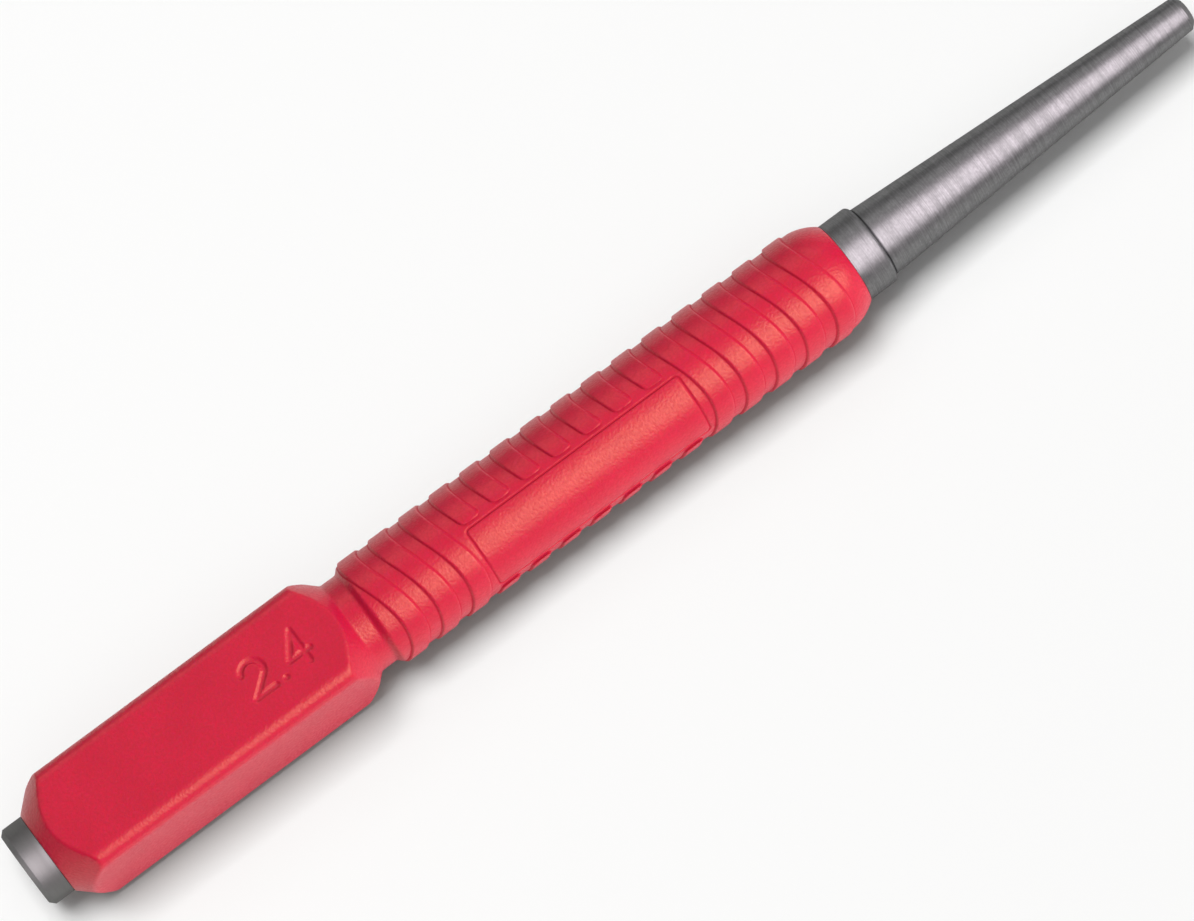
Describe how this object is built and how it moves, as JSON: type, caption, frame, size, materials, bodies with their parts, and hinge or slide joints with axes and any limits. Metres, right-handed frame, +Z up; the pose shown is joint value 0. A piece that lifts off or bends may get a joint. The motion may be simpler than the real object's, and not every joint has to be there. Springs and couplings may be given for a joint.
{
  "type": "nail setter",
  "caption": "Nail setter: a turned, tapered steel punch with a cupped tip, in a moulded vinyl grip with a square anti-roll block, a neck, arched ribs and a plain panel.",
  "frame": {"origin": "under the middle of the tool's length, on the surface it lies on, with one flat of the square block down", "axes": "+X along the tool towards the tip, +Z up, +Y towards the tool's far side in the picture"},
  "size_m": [0.127, 0.0106, 0.0106],
  "materials": {
    "steel": "turned and polished lengthwise, with a dark oiled look",
    "vinyl": "soft matte red vinyl with a fine moulded grain"
  },
  "bodies": {
    "root": {"steel_punch": "steel", "grip_sleeve": "vinyl"}
  },
  "joints": []
}
